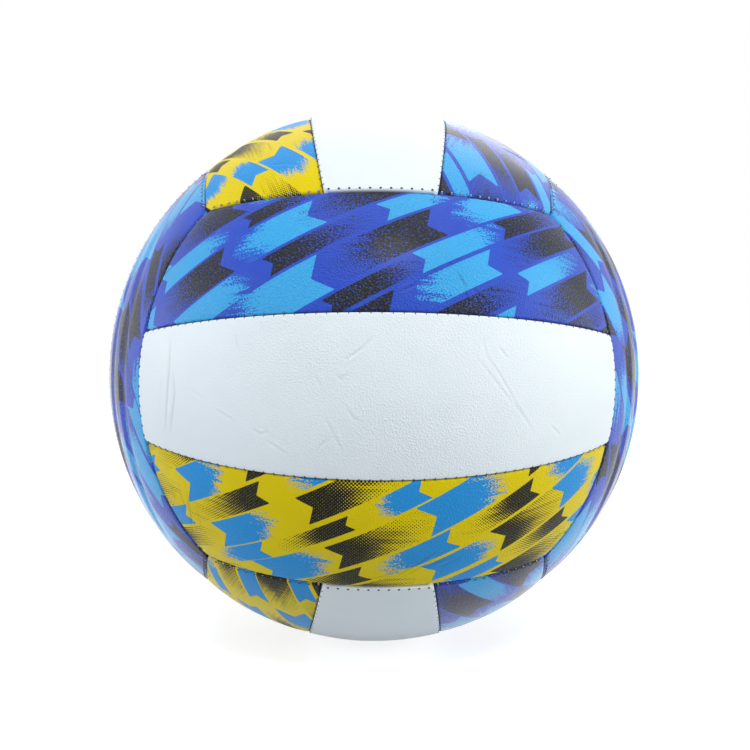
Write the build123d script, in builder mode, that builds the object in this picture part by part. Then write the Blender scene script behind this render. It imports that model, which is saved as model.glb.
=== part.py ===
from build123d import *
import os
from collections import namedtuple
from math import acos, atan2, cos, degrees, pi, sin, sqrt

# An indoor volleyball: eighteen padded panels, sewn edge to edge round a rubber bladder.
# The panels lie in six faces of three strips, and each face's strips run square to its neighbours'.
# The origin is the ball's centre, +Z is up, the front face looks along -Y and the valve is at the back.
# Lengths are in millimetres. Angles are in radians, and directions are unit vectors from the centre.

# The ball and the cut of its panels. The widths follow the sphere, and the end width is straight.
# The middle strip's widths, at its middle and at its ends, are shares of its face's.
ball_circumference = 660.0
face_width = 141.2
middle_strip_share = 0.3725
middle_strip_end_share = 0.2649

# The wall, from the outside in: a synthetic leather cover, its foam and cloth backing, and the bladder.
cover_thickness = 1.4
backing_thickness = 2.8
bladder_thickness = 0.7
bond_gap = 0.1

# The seams: each cover's edges are turned in, and lie against the neighbour's.
seam_gap = 0.1
turned_edge_radius = 2.2
corner_ease = 0.2
thread_diameter = 0.9
thread_clearance = 0.05

# The valve: a rubber plug in a housing that is moulded to the bladder.
valve_fit = 0.1
needle_bore_radius = 1.1
lead_in_radius = 1.9
lead_in_depth = 0.8
plug_face_recess = 0.3
plug_neck_radius = 3.2
plug_head_radius = 7.0
plug_stem_radius = 3.4
plug_tip_radius = 2.4
plug_tip_length = 4.0
plug_tip_wall = 2.5
bead_radius = 4.4
bead_length = 2.0
slit_length = 2.0
slit_width = 0.15
housing_collar_radius = 6.0
housing_flange_radius = 13.0
housing_flange_thickness = 1.6
housing_sleeve_length = 9.0

# How far a cutting shape runs past what it cuts.
cut_overrun = 3.0

outer_radius = ball_circumference / (2 * pi)
cover_inner_radius = outer_radius - cover_thickness
backing_outer_radius = cover_inner_radius - bond_gap
backing_inner_radius = backing_outer_radius - backing_thickness
bladder_outer_radius = backing_inner_radius - bond_gap
bladder_inner_radius = bladder_outer_radius - bladder_thickness

# Every seam is a circle on the ball: the directions that lie at one angle, its opening, from its axis.
# These are the front face's seams. Its strips run along X, and its corners lie where three faces meet.
Seam = namedtuple("Seam", "axis opening")

face_half_angle = face_width / 2 / outer_radius
corner_reach = 1 / sqrt(3)
edge_lean = atan2(sin(face_half_angle) - corner_reach, cos(face_half_angle) - corner_reach)
edge_opening = pi / 2 + edge_lean - face_half_angle
left_edge = Seam(Vector(sin(edge_lean), -cos(edge_lean), 0), edge_opening)
right_edge = Seam(Vector(-sin(edge_lean), -cos(edge_lean), 0), edge_opening)
upper_edge = Seam(Vector(0, sin(edge_lean), cos(edge_lean)), edge_opening)
lower_edge = Seam(Vector(0, sin(edge_lean), -cos(edge_lean)), edge_opening)

middle_strip_width = face_width * middle_strip_share
middle_strip_end_width = face_width * middle_strip_end_share
strip_half_angle = middle_strip_width / 2 / outer_radius
strip_end_rise = middle_strip_end_width / 2 / outer_radius
strip_end_reach = sqrt(1 - strip_end_rise**2)
strip_end_turn = acos(cos(edge_opening) / strip_end_reach) - edge_lean
strip_lean = atan2(
    sin(strip_half_angle) - strip_end_rise,
    cos(strip_half_angle) - strip_end_reach * cos(strip_end_turn),
)
strip_opening = pi / 2 + strip_lean - strip_half_angle
upper_strip_seam = Seam(Vector(0, sin(strip_lean), cos(strip_lean)), strip_opening)
lower_strip_seam = Seam(Vector(0, sin(strip_lean), -cos(strip_lean)), strip_opening)


def narrowed(seam, distance):
    """The seam moved towards its axis by a distance along the ball's surface."""
    return Seam(seam.axis, seam.opening - distance / outer_radius)


def crossing(first, second):
    """The direction in which two seams cross, on the front of the ball."""
    overlap = first.axis.dot(second.axis)
    first_reach = cos(first.opening)
    second_reach = cos(second.opening)
    along_first = (first_reach - overlap * second_reach) / (1 - overlap**2)
    along_second = (second_reach - overlap * first_reach) / (1 - overlap**2)
    between = first.axis * along_first + second.axis * along_second
    square = first.axis.cross(second.axis)
    aside = square * (sqrt(1 - between.dot(between)) / square.length)
    return min(between + aside, between - aside, key=lambda direction: direction.Y)


def seam_turn(seam, start, end):
    """The signed angle about the seam's axis from one of its directions to another."""
    out = start - seam.axis * start.dot(seam.axis)
    aside = seam.axis.cross(out)
    return atan2(end.dot(aside), end.dot(out))


def seam_poles(seam, start, end):
    """The poles of a seam's arc between two of its directions, each with its weight."""
    centre = seam.axis * cos(seam.opening)
    bisector = (start + end - centre * 2).normalized()
    weight = bisector.dot((start - centre).normalized())
    apex = centre + bisector * (sin(seam.opening) / weight)
    return (start, 1), (apex, weight), (end, 1)


def middle_sides(inset):
    """The middle strip's four seams, each moved into the strip by the inset."""
    upper = narrowed(upper_strip_seam, -inset)
    lower = narrowed(lower_strip_seam, -inset)
    return narrowed(left_edge, inset), upper, narrowed(right_edge, inset), lower


def outer_sides(inset):
    """The upper strip's four seams, each moved into the strip by the inset."""
    upper = narrowed(upper_edge, -inset)
    lower = narrowed(upper_strip_seam, inset)
    return narrowed(left_edge, inset), upper, narrowed(right_edge, inset), lower


def strip_block(sides, inner_radius, block_radius):
    """A piece of the ball's wall within four seams. Its sides point to the ball's centre."""
    corners = [crossing(sides[index - 1], sides[index]) for index in range(len(sides))]
    ends = zip(corners, corners[1:] + corners[:1])
    arcs = [seam_poles(side, start, end) for side, (start, end) in zip(sides, ends)]
    with BuildPart() as block:
        for distance in (inner_radius / 2, block_radius + cut_overrun):
            with BuildSketch(Plane(origin=(0, -distance, 0), x_dir=(1, 0, 0), z_dir=(0, -1, 0))):
                with BuildLine():
                    for poles in arcs:
                        shares = [(-pole.X / pole.Y, -pole.Z / pole.Y) for pole, weight in poles]
                        points = [(distance * x_share, distance * z_share) for x_share, z_share in shares]
                        Bezier(*points, weights=[-weight * pole.Y for pole, weight in poles])
                make_face()
        loft(ruled=True)
        Sphere(block_radius, mode=Mode.INTERSECT)
        Sphere(inner_radius, mode=Mode.SUBTRACT)
    return block.part


def cover_shape(strip_sides):
    """A strip's cover: a thin tray whose sides are the edges that are turned in along the seams."""
    seam_inset = seam_gap / 2
    solid = strip_block(strip_sides(seam_inset), backing_inner_radius, outer_radius)
    pocket_sides = strip_sides(seam_inset + cover_thickness)
    pocket = strip_block(pocket_sides, backing_inner_radius - cut_overrun, cover_inner_radius)
    wall_depth = outer_radius - backing_inner_radius
    with BuildPart() as cover:
        add(solid)
        posts = cover.edges().filter_by(lambda edge: edge.length < wall_depth * 2)
        fillet(posts, turned_edge_radius + corner_ease)
        rim = cover.edges().filter_by(lambda edge: (edge @ 0.5).length > outer_radius - wall_depth / 4)
        fillet(rim, turned_edge_radius)
        add(pocket, mode=Mode.SUBTRACT)
    return cover.part


def backing_shape(strip_sides):
    """The foam and cloth that fills a strip's cover."""
    inset = seam_gap / 2 + cover_thickness + bond_gap
    return strip_block(strip_sides(inset), backing_inner_radius, backing_outer_radius)


# Heights along the valve's axis, +Y, from the plug's face at the ball's surface down to its tip.
plug_face_height = outer_radius - plug_face_recess
head_top_height = sqrt(backing_outer_radius**2 - plug_head_radius**2)
collar_height = sqrt(bladder_outer_radius**2 - housing_collar_radius**2)
head_seat_height = collar_height + valve_fit
flange_top_radius = bladder_inner_radius - bond_gap
flange_floor_radius = flange_top_radius - housing_flange_thickness
sleeve_end_height = flange_floor_radius - housing_sleeve_length
bead_top_height = sleeve_end_height - valve_fit
bead_end_height = bead_top_height - bead_length
tip_height = bead_end_height - plug_tip_length
bore_end_height = tip_height + plug_tip_wall
bladder_hole_radius = housing_collar_radius + valve_fit
sleeve_bore_radius = plug_stem_radius + valve_fit

# Each face has a direction along its strips and one across them, and its strips are named in that order.
faces = {
    "front": (Vector(1, 0, 0), Vector(0, 0, 1), ("lower", "middle", "upper")),
    "back": (Vector(-1, 0, 0), Vector(0, 0, 1), ("lower", "middle", "upper")),
    "top": (Vector(0, -1, 0), Vector(1, 0, 0), ("left", "middle", "right")),
    "bottom": (Vector(0, 1, 0), Vector(1, 0, 0), ("left", "middle", "right")),
    "left": (Vector(0, 0, 1), Vector(0, 1, 0), ("front", "middle", "rear")),
    "right": (Vector(0, 0, -1), Vector(0, 1, 0), ("front", "middle", "rear")),
}

# The hole that the valve needs in each layer of the strip that it passes through.
valve_strip = "back_middle"
valve_hole_radii = {"panel": plug_neck_radius + valve_fit, "backing": plug_head_radius + valve_fit}

os.makedirs("parts", exist_ok=True)

middle_shapes = {"panel": cover_shape(middle_sides), "backing": backing_shape(middle_sides)}
outer_shapes = {"panel": cover_shape(outer_sides), "backing": backing_shape(outer_sides)}

# The eighteen panels and their backings. A lower strip is an upper strip turned half round.
for face_name, (along, across, strip_names) in faces.items():
    for side, strip_name in zip((-1, 0, 1), strip_names):
        turned = -1 if side < 0 else 1
        frame = Plane(origin=(0, 0, 0), x_dir=along * turned, z_dir=across * turned)
        shapes = outer_shapes if side else middle_shapes
        for layer_name, shape in shapes.items():
            with BuildPart(frame) as layer:
                add(shape)
                if f"{face_name}_{strip_name}" == valve_strip:
                    Cylinder(
                        valve_hole_radii[layer_name],
                        outer_radius + cut_overrun,
                        rotation=(90, 0, 0),
                        align=(Align.CENTER, Align.CENTER, Align.MIN),
                        mode=Mode.SUBTRACT,
                    )
            node = f"{face_name}_{strip_name}_{layer_name}"
            layer.part.label = node
            export_step(layer.part, f"parts/{node}.step")

# The thread along each face's four long seams. It lies in the groove between the turned edges.
thread_reach = turned_edge_radius + thread_diameter / 2 + thread_clearance
thread_rise = sqrt(thread_reach**2 - (turned_edge_radius + seam_gap / 2) ** 2)
thread_line_radius = outer_radius - turned_edge_radius + thread_rise
thread_end_gap = thread_diameter

with BuildPart() as face_threads:
    for seam in (upper_edge, upper_strip_seam, lower_strip_seam, lower_edge):
        start = crossing(left_edge, seam)
        turn = degrees(seam_turn(seam, start, crossing(right_edge, seam)))
        trim = degrees(thread_end_gap / (outer_radius * sin(seam.opening)))
        trim = trim if turn > 0 else -trim
        axis = Axis((0, 0, 0), seam.axis)
        thread_start = start.rotate(axis, trim)
        heading = seam.axis.cross(thread_start)
        with BuildSketch(Plane(origin=thread_start * thread_line_radius, z_dir=heading)):
            Circle(thread_diameter / 2)
        revolve(axis=axis, revolution_arc=turn - 2 * trim)

for face_name, (along, across, strip_names) in faces.items():
    with BuildPart(Plane(origin=(0, 0, 0), x_dir=along, z_dir=across)) as threads:
        add(face_threads.part)
    node = f"{face_name}_seam_threads"
    threads.part.label = node
    export_step(threads.part, f"parts/{node}.step")

# The bladder: a thin rubber ball with a hole for the valve's collar.
with BuildPart() as bladder:
    with BuildSketch(Plane.XY):
        with BuildLine():
            outer_top = sqrt(bladder_outer_radius**2 - bladder_hole_radius**2)
            inner_top = sqrt(bladder_inner_radius**2 - bladder_hole_radius**2)
            outer_arc = ThreePointArc(
                (bladder_hole_radius, outer_top), (bladder_outer_radius, 0), (0, -bladder_outer_radius)
            )
            inner_arc = ThreePointArc(
                (bladder_hole_radius, inner_top), (bladder_inner_radius, 0), (0, -bladder_inner_radius)
            )
            Line(outer_arc @ 0, inner_arc @ 0)
            Line(outer_arc @ 1, inner_arc @ 1)
        make_face()
    revolve(axis=Axis.Y)
bladder.part.label = "bladder"
export_step(bladder.part, "parts/bladder.step")

# The valve housing: a flange that follows the inside of the bladder, a collar through it and a sleeve.
with BuildPart() as valve_housing:
    with BuildSketch(Plane.XY):
        with BuildLine():
            collar_foot = sqrt(flange_top_radius**2 - housing_collar_radius**2)
            flange_top = sqrt(flange_top_radius**2 - housing_flange_radius**2)
            flange_floor = sqrt(flange_floor_radius**2 - housing_flange_radius**2)
            sleeve_head = sqrt(flange_floor_radius**2 - housing_collar_radius**2)
            collar = Polyline(
                (sleeve_bore_radius, collar_height),
                (housing_collar_radius, collar_height),
                (housing_collar_radius, collar_foot),
            )
            flange_upper = RadiusArc(collar @ 1, (housing_flange_radius, flange_top), flange_top_radius)
            Line(flange_upper @ 1, (housing_flange_radius, flange_floor))
            flange_lower = RadiusArc(
                (housing_collar_radius, sleeve_head),
                (housing_flange_radius, flange_floor),
                flange_floor_radius,
            )
            Polyline(
                flange_lower @ 0,
                (housing_collar_radius, sleeve_end_height),
                (sleeve_bore_radius, sleeve_end_height),
                collar @ 0,
            )
        make_face()
    revolve(axis=Axis.Y)
valve_housing.part.label = "valve_housing"
export_step(valve_housing.part, "parts/valve_housing.step")

# The valve plug: a head under the cover, a neck that shows in its hole, and a stem whose bead holds it in the
# housing. The needle's bore ends in a wall with a slit, which the air pressure keeps shut.
with BuildPart() as valve_plug:
    with BuildSketch(Plane.XY):
        with BuildLine():
            Polyline(
                (0, bore_end_height),
                (needle_bore_radius, bore_end_height),
                (needle_bore_radius, plug_face_height - lead_in_depth),
                (lead_in_radius, plug_face_height),
                (plug_neck_radius, plug_face_height),
                (plug_neck_radius, head_top_height),
                (plug_head_radius, head_top_height),
                (plug_head_radius, head_seat_height),
                (plug_stem_radius, head_seat_height),
                (plug_stem_radius, bead_top_height),
                (bead_radius, bead_top_height),
                (plug_stem_radius, bead_end_height),
                (plug_tip_radius, tip_height),
                (0, tip_height),
                close=True,
            )
        make_face()
    revolve(axis=Axis.Y)
    with BuildSketch(Plane.XZ.offset(-tip_height)):
        Rectangle(slit_length, slit_width)
    extrude(amount=plug_tip_wall + cut_overrun, both=True, mode=Mode.SUBTRACT)
valve_plug.part.label = "valve_plug"
export_step(valve_plug.part, "parts/valve_plug.step")
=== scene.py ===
import math
import bmesh
import bpy
import numpy as np
from mathutils import Matrix, Vector


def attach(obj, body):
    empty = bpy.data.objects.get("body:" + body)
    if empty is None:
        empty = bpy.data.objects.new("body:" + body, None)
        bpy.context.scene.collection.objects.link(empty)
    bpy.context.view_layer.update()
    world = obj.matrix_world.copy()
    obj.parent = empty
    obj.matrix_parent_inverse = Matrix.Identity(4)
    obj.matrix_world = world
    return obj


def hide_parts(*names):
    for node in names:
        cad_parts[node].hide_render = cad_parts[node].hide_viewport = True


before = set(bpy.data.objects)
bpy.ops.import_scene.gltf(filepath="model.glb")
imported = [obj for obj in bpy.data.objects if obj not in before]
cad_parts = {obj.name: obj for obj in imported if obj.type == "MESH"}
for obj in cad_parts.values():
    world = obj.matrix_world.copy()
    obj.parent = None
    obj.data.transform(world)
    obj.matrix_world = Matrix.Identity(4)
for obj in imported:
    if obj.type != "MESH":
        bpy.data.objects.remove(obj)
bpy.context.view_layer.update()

scene = bpy.context.scene
mm = 0.001  # everything below is worked out in millimetres and scaled when a mesh is made
print("frame loaded:", len(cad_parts), "nodes")

# the ball's cut: the same sizes as the solids have
ball = {
    "circumference": 660.0,
    "faceWidth": 141.2,
    "middleShare": 0.3725,
    "middleEndShare": 0.2649,
    "seamGap": 0.1,
    "coverThickness": 1.45,
    "wallDepth": 4.2,
}
ballRadius = ball["circumference"] / (2 * math.pi)
towardsFront = np.array((0.0, -1.0, 0.0))


def seamOf(tiltX, tiltY, tiltZ, opening):
    return np.array((tiltX, tiltY, tiltZ)), opening


# a seam is a circle on the ball: an axis, and the angle that the circle opens round it
halfFace = ball["faceWidth"] / 2 / ballRadius
cornerReach = 1 / math.sqrt(3)
edgeLean = math.atan2(math.sin(halfFace) - cornerReach, math.cos(halfFace) - cornerReach)
edgeOpening = math.pi / 2 + edgeLean - halfFace
middleWidth = ball["faceWidth"] * ball["middleShare"]
halfStrip = middleWidth / 2 / ballRadius
middleEndWidth = ball["faceWidth"] * ball["middleEndShare"]
endRise = middleEndWidth / 2 / ballRadius
endReach = math.sqrt(1 - endRise**2)
endTurn = math.acos(math.cos(edgeOpening) / endReach) - edgeLean
stripLean = math.atan2(
    math.sin(halfStrip) - endRise, math.cos(halfStrip) - endReach * math.cos(endTurn)
)
stripOpening = math.pi / 2 + stripLean - halfStrip
seams = {
    "leftEdge": seamOf(math.sin(edgeLean), -math.cos(edgeLean), 0, edgeOpening),
    "rightEdge": seamOf(-math.sin(edgeLean), -math.cos(edgeLean), 0, edgeOpening),
    "upperEdge": seamOf(0, math.sin(edgeLean), math.cos(edgeLean), edgeOpening),
    "lowerEdge": seamOf(0, math.sin(edgeLean), -math.cos(edgeLean), edgeOpening),
    "upperStrip": seamOf(0, math.sin(stripLean), math.cos(stripLean), stripOpening),
    "lowerStrip": seamOf(0, math.sin(stripLean), -math.cos(stripLean), stripOpening),
}

seamSorts = {
    "leftEdge": "End", "rightEdge": "End", "upperEdge": "Edge", "lowerEdge": "Edge",
    "upperStrip": "Strip", "lowerStrip": "Strip",
}

# each strip's seams in the order left, upper, right, lower; -1 keeps what lies inside the circle
stripCuts = {
    "middle": (("leftEdge", -1), ("upperStrip", 1), ("rightEdge", -1), ("lowerStrip", 1)),
    "outer": (("leftEdge", -1), ("upperEdge", 1), ("rightEdge", -1), ("upperStrip", -1)),
}

# faces: along the strips, across them, and the strips' names from one side to the other
faces = {
    "front": ((1, 0, 0), (0, 0, 1), ("lower", "middle", "upper")),
    "back": ((-1, 0, 0), (0, 0, 1), ("lower", "middle", "upper")),
    "top": ((0, -1, 0), (1, 0, 0), ("left", "middle", "right")),
    "bottom": ((0, 1, 0), (1, 0, 0), ("left", "middle", "right")),
    "left": ((0, 0, 1), (0, 1, 0), ("front", "middle", "rear")),
    "right": ((0, 0, -1), (0, 1, 0), ("front", "middle", "rear")),
}
bluePrinted = {
    "front_upper", "back_upper", "top_right", "bottom_right", "left_front", "right_front",
}
valveStrip = "back_middle"


def faceRows(along, across, turned=1):
    along, across = np.array(along, float) * turned, np.array(across, float) * turned
    return np.array((along, np.cross(across, along), across))


def narrowed(seam, distance):
    return seam[0], seam[1] + distance / ballRadius


def crossing(first, second):
    overlap = first[0] @ second[0]
    reachA, reachB = math.cos(first[1]), math.cos(second[1])
    between = first[0] * (reachA - overlap * reachB) + second[0] * (reachB - overlap * reachA)
    between = between / (1 - overlap**2)
    square = np.cross(first[0], second[0])
    aside = square * (math.sqrt(1 - between @ between) / np.linalg.norm(square))
    return min(between + aside, between - aside, key=lambda place: place[1])


def seamBasis(seam, start):
    out = start - seam[0] * (start @ seam[0])
    out = out / np.linalg.norm(out)
    return out, np.cross(seam[0], out)


def seamPoints(seam, out, aside, turns):
    ring = np.cos(turns)[:, None] * out + np.sin(turns)[:, None] * aside
    return math.cos(seam[1]) * seam[0] + math.sin(seam[1]) * ring


def seamArc(seam, start, end, shares):
    out, aside = seamBasis(seam, start)
    return seamPoints(seam, out, aside, shares * math.atan2(end @ aside, end @ out))


def unit(places):
    return places / np.linalg.norm(places, axis=-1, keepdims=True)


# every strip: its name, its side of the face, and the face's axes as rows
strips = [
    (f"{faceName}_{stripName}", side, faceRows(along, across, -1 if side < 0 else 1))
    for faceName, (along, across, stripNames) in faces.items()
    for side, stripName in zip((-1, 0, 1), stripNames)
]

# panels: padded synthetic leather, pulled down along the seams; sizes in mm
panelLook = {
    "firstSeed": 11,
    "spacing": {"front_middle": 0.36, "front_upper": 0.41, "front_lower": 0.41},
    "plainSpacing": 0.62,  # mesh spacing of the other panels
    "edgeSteps": 6,  # rows round a turned edge
    "stitchPitch": 3.4,
    "puckerWidth": 0.55,
    "cornerRadius": {"middle": 2.0, "outer": 3.0},
    "cornerSink": 1.2,
    "calmEdge": 6.0,  # creases fade out this near to a seam
    "deepest": 3.6,
    "unevenness": 0.05,
    "waves": (26.0, 17.0, 11.0, 7.5),
    "headings": 3,  # waves of each length
    "pocketFrom": 1.2,  # the tray's inside gives way where the cover dips further
    "pocketMost": 2.0,
    "liningStep": 9,  # the inside's mesh is this much coarser
    "valveHole": 3.3,
    "valveRim": 0.5,
    "valveLip": 1.2,
    "valveTurn": 0.8,
    "valveLining": 1.2,  # the hole in the inside, as a share of the outer one
}
# how a strip falls away towards each sort of seam:
# a face's long edges, the strips' ends, and the seams between strips
profiles = {
    "outer": {
        "Edge": {"radius": 1.2, "crown": 0.80, "reach": 8.5, "pucker": 0.20, "puckerReach": 1.2},
        "End": {"radius": 1.2, "crown": 0.75, "reach": 8.0, "pucker": 0.14, "puckerReach": 1.2},
        "Strip": {"radius": 0.90, "crown": 0.40, "reach": 5.0, "pucker": 0.20, "puckerReach": 0.8},
    },
    "middle": {
        "End": {"radius": 0.8, "crown": 0.20, "reach": 6.0, "pucker": 0.08, "puckerReach": 1.0},
        "Strip": {"radius": 0.6, "crown": 0.10, "reach": 4.0, "pucker": 0.16, "puckerReach": 0.8},
    },
}

# creases: the ridge's height, place and width as shares of the valley's;
# painted shade, in place of the shadow in a fold, darkens deep, narrow valleys most
creaseLook = {
    "endPower": 3, "ridge": 0.5, "ridgeAway": 1.9, "ridgeWidth": 1.2,
    "creaseShade": 0.36, "narrow": 0.45, "paintedShade": 0.45,
}
# lines of places (s along the face and t up it, in mm), a depth and a half width
creases = {
    "front_middle": [
        (((-74.7, 23.7), (-75.2, 7.4), (-76.6, -8), (-77.6, -20.9)), 0.36, 0.40),
        (((-73.1, 8.3), (-72.4, -1.1), (-74.9, -20.1)), 0.32, 0.40),
        (((-79.4, 5), (-80.2, -12)), 0.16, 0.40),
        (((-47.1, 22.2), (-46.1, 14.8)), 0.18, 0.42),
        (((-66, 1.2), (-58.7, -2.6)), 0.05, 0.60),
        (((-54.7, -6), (-47.5, -9.4)), 0.10, 0.50),
        (((-41.5, -11), (-38.4, -13.2), (-36, -12.2), (-37.8, -10.6)), 0.17, 0.50),
        (((-36.3, -15), (-29, -19.3)), 0.14, 0.45),
        (((-2.4, 18.9), (-6.4, 14.6), (-11.8, 11)), 0.24, 0.45),
        (((-14.1, 7.5), (-12.6, 5.2), (-10.3, 7.5)), 0.20, 0.45),
        (((-20.6, 6.7), (-18.4, 2.8)), 0.17, 0.45),
        (((-11.4, -2.1), (-8.7, -6.2), (-6.4, -7.6)), 0.18, 0.45),
        (((-17.9, -5.7), (-14.8, -11.1), (-11.7, -17.3)), 0.18, 0.45),
        (((-15.6, -12.7), (-18.4, -15), (-20.6, -18.6)), 0.20, 0.45),
        ((
            (31.3, 20.7), (32.9, 13.5), (37.7, 7), (43.3, -2.3), (48.2, -9.7), (51.4, -14.7),
        ), 0.10, 0.42),
        (((28.4, 14.1), (32.5, 9.4), (37.8, 2.9), (42.8, -3.2), (49.2, -10.7)), 0.09, 0.42),
        (((36.9, 16.9), (40.4, 12.5)), 0.11, 0.42),
        (((57.5, -11.7), (62.1, -16.4)), 0.14, 0.42),
    ],
    "front_upper": [
        (((23.4, 40.8), (26.7, 35.5)), 0.24, 0.42),
        (((28.4, 35.7), (34.1, 31.3)), 0.24, 0.42),
        (((25.8, 35.1), (26.9, 30.9)), 0.20, 0.42),
        (((29.5, 33.8), (30.3, 30.3)), 0.18, 0.42),
        (((4.3, 32.1), (12.4, 36.4)), 0.18, 0.42),
        (((17.2, 56.5), (19.8, 50.3)), 0.16, 0.42),
    ],
    "front_lower": [
        (((-76.9, -44.8), (-75.2, -54)), 0.24, 0.42),
        (((-72.6, -44.9), (-70.3, -54.3)), 0.22, 0.42),
        (((-69, -40.5), (-68, -55), (-68.8, -70.5)), 0.24, 0.42),
        (((-64.5, -46), (-63.5, -62)), 0.16, 0.42),
        (((-5.2, -66.6), (3.8, -63.1)), 0.22, 0.42),
        (((1.2, -64.4), (7, -59.7)), 0.18, 0.42),
        (((5.2, -64.5), (12, -59), (18.8, -53.5)), 0.26, 0.42),
        (((8.1, -64.7), (15, -59.5), (21.5, -53.5)), 0.22, 0.42),
        (((12.6, -61.8), (24, -56.8)), 0.22, 0.42),
        (((19.3, -61.4), (26.9, -58.4)), 0.17, 0.42),
        (((64.6, -75.9), (70.2, -65.3)), 0.20, 0.42),
    ],
    "left_front": [
        (((-66, -53), (-20, -56), (30, -55), (62, -52)), 0.8, 2.6),
        (((-52, -40), (0, -42.5), (58, -41)), 0.6, 2.4),
        (((-70, -58), (-64, -49)), 0.20, 0.5),
    ],
    "right_front": [
        (((-64, -54), (-10, -57), (40, -56), (66, -53)), 0.8, 2.6),
        (((-60, -41), (6, -43), (54, -41)), 0.6, 2.4),
        (((58, -50), (69, -56)), 0.20, 0.5),
    ],
}
# the other panels' creases are drawn at random between these
seededLook = {
    "count": 6, "along": (-74, 74), "across": {"middle": (-22, 22), "outer": (32, 64)},
    "length": (7, 17), "depth": (0.09, 0.18), "width": (0.5, 0.8),
}


def edgeShares(length, radius, spacing):
    turnsIn = np.linspace(0, math.pi / 2, panelLook["edgeSteps"] + 1)
    rim = radius * (1 - np.cos(turnsIn))
    count = round((length - 2 * radius) / spacing)
    inner = np.linspace(radius, length - radius, count + 1)[1:-1]
    return np.concatenate((rim, inner, (length - rim)[::-1])) / length


def filletDrop(distance, radius):
    inside = np.clip(radius - distance, 0, radius)
    return radius - np.sqrt(radius**2 - inside**2)


def stripSides(kind, inset):
    return [narrowed(seams[name], sign * inset) for name, sign in stripCuts[kind]]


def stripGrid(kind, uShares, vShares, inset):
    left, upper, right, lower = stripSides(kind, inset)
    lowLeft, lowRight = crossing(left, lower), crossing(right, lower)
    upLeft, upRight = crossing(left, upper), crossing(right, upper)
    low, high = seamArc(lower, lowLeft, lowRight, uShares), seamArc(upper, upLeft, upRight, uShares)
    start, end = seamArc(left, lowLeft, upLeft, vShares), seamArc(right, lowRight, upRight, vShares)
    u, v = uShares[:, None, None], vShares[None, :, None]
    grid = (1 - v) * low[:, None] + v * high[:, None] + (1 - u) * start[None] + u * end[None]
    grid -= (1 - u) * ((1 - v) * lowLeft + v * upLeft) + u * ((1 - v) * lowRight + v * upRight)
    return unit(grid)


def seamFacts(kind, grid):
    # distance to each seam, and how far along the seam each point stands
    facts = []
    for name, sign in stripCuts[kind]:
        axis, opening = seams[name]
        angle = np.arccos(np.clip(grid @ axis, -1, 1))
        out, aside = seamBasis((axis, opening), towardsFront)
        turn = np.arctan2(grid @ aside, grid @ out)
        facts.append((
            seamSorts[name],
            sign * (angle - opening) * ballRadius - ball["seamGap"] / 2,
            turn * ballRadius * math.sin(opening),
        ))
    return facts


def puckers(along, pitch, width):
    offset = (along / pitch + 0.5) % 1 - 0.5
    return np.exp(-((offset * pitch / width) ** 2))


def creaseDrop(s, t, strokes):
    # a narrow valley along each line with a low ridge beside it, fading out at the line's ends;
    # also where the valleys lie, for the painted shade that darkens them
    drop, folds = np.zeros_like(s), np.zeros_like(s)
    for line, depth, width in strokes:
        lengths = [math.dist(*pair) for pair in zip(line, line[1:])]
        done, whole = 0.0, sum(lengths)
        nearest, share = np.full(s.shape, np.inf), np.zeros_like(s)
        for (fromS, fromT), (toS, toT), length in zip(line, line[1:], lengths):
            runS, runT = (toS - fromS) / length, (toT - fromT) / length
            along = np.clip((s - fromS) * runS + (t - fromT) * runT, 0, length)
            aside = (t - fromT) * runS - (s - fromS) * runT
            away = np.copysign(np.hypot(s - fromS - along * runS, t - fromT - along * runT), aside)
            closer = np.abs(away) < np.abs(nearest)
            nearest = np.where(closer, away, nearest)
            share = np.where(closer, (done + along) / whole, share)
            done += length
        fade = np.clip(1 - np.abs(2 * share - 1) ** creaseLook["endPower"], 0, 1)
        valley = np.exp(-((nearest / width) ** 2))
        fromRidge = nearest / width - creaseLook["ridgeAway"]
        ridge = creaseLook["ridge"] * np.exp(-((fromRidge / creaseLook["ridgeWidth"]) ** 2))
        drop += depth * fade * (valley - ridge)
        shadeShare = (depth / creaseLook["creaseShade"] * creaseLook["narrow"] / width) ** 2
        folds = np.maximum(folds, fade * valley * min(shadeShare, 1))
    return drop, folds


def unevenDrop(grid, rng):
    drop = np.zeros(grid.shape[:2])
    for wave in panelLook["waves"]:
        for _ in range(panelLook["headings"]):
            heading = unit(rng.normal(size=3))
            phase = rng.uniform(0, 2 * math.pi)
            turns = grid @ heading * ballRadius * 2 * math.pi / wave
            drop += wave / max(panelLook["waves"]) * np.sin(turns + phase)
    return drop * panelLook["unevenness"] / panelLook["headings"]


def fall(profile, inside):
    # the smooth part of a strip's fall towards a seam
    crown = profile["crown"] * np.exp(-inside / profile["reach"])
    return filletDrop(inside, profile["radius"]) + crown


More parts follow.
